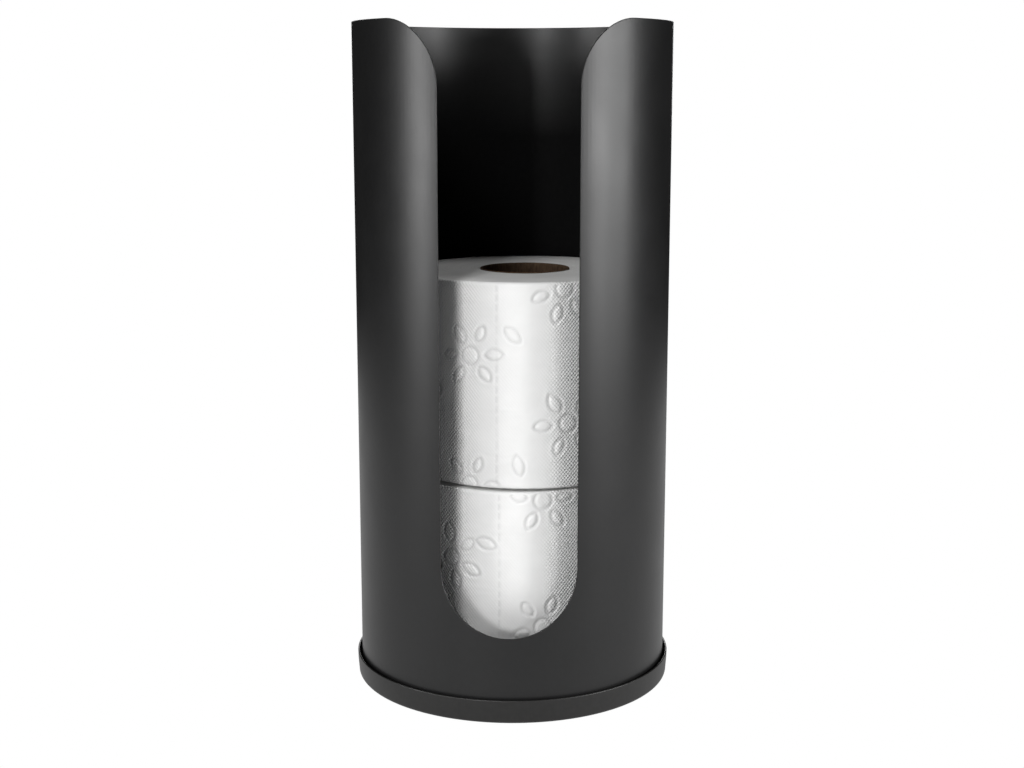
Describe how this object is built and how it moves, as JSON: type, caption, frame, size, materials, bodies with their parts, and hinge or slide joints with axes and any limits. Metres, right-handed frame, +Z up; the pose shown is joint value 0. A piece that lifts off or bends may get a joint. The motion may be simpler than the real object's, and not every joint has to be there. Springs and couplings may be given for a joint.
{
  "type": "toilet paper holder",
  "caption": "Free-standing store for spare toilet rolls: a slotted black steel tube in a low round tray, holding rolls stacked on end that lift out at the top.",
  "frame": {"origin": "on the ground, at the centre of the round base, under the tube's axis", "axes": "+Z up along the tube's axis; the front slot faces -Y; +X is to the right of someone who looks at the slot"},
  "size_m": [0.1544, 0.1544, 0.3173],
  "materials": {
    "black_powder_coat": "matte",
    "tray_powder_coat": "matte",
    "zinc_plated_steel": "satin",
    "black_rubber": "matte",
    "white_tissue": "matte",
    "brown_cardboard": "matte"
  },
  "bodies": {
    "holder": {"shell": "black_powder_coat", "base_tray": "tray_powder_coat", "bottom_plate": "black_powder_coat", "base_screw_1": "zinc_plated_steel", "base_screw_2": "zinc_plated_steel", "base_screw_3": "zinc_plated_steel", "lock_washer_1": "zinc_plated_steel", "lock_washer_2": "zinc_plated_steel", "lock_washer_3": "zinc_plated_steel", "weld_nut_1": "zinc_plated_steel", "weld_nut_2": "zinc_plated_steel", "weld_nut_3": "zinc_plated_steel", "foot_pad_1": "black_rubber", "foot_pad_2": "black_rubber", "foot_pad_3": "black_rubber", "foot_pad_4": "black_rubber"},
    "lower_roll": {"lower_roll_paper": "white_tissue", "lower_roll_core": "brown_cardboard"},
    "upper_roll": {"upper_roll_paper": "white_tissue", "upper_roll_core": "brown_cardboard"}
  },
  "joints": [
    {"name": "lower_roll_lift", "type": "slide", "parent": "holder", "child": "lower_roll", "axis": [0, 0, 1], "range_m": [0, 0.32]},
    {"name": "upper_roll_lift", "type": "slide", "parent": "lower_roll", "child": "upper_roll", "axis": [0, 0, 1], "range_m": [0, 0.22]}
  ]
}
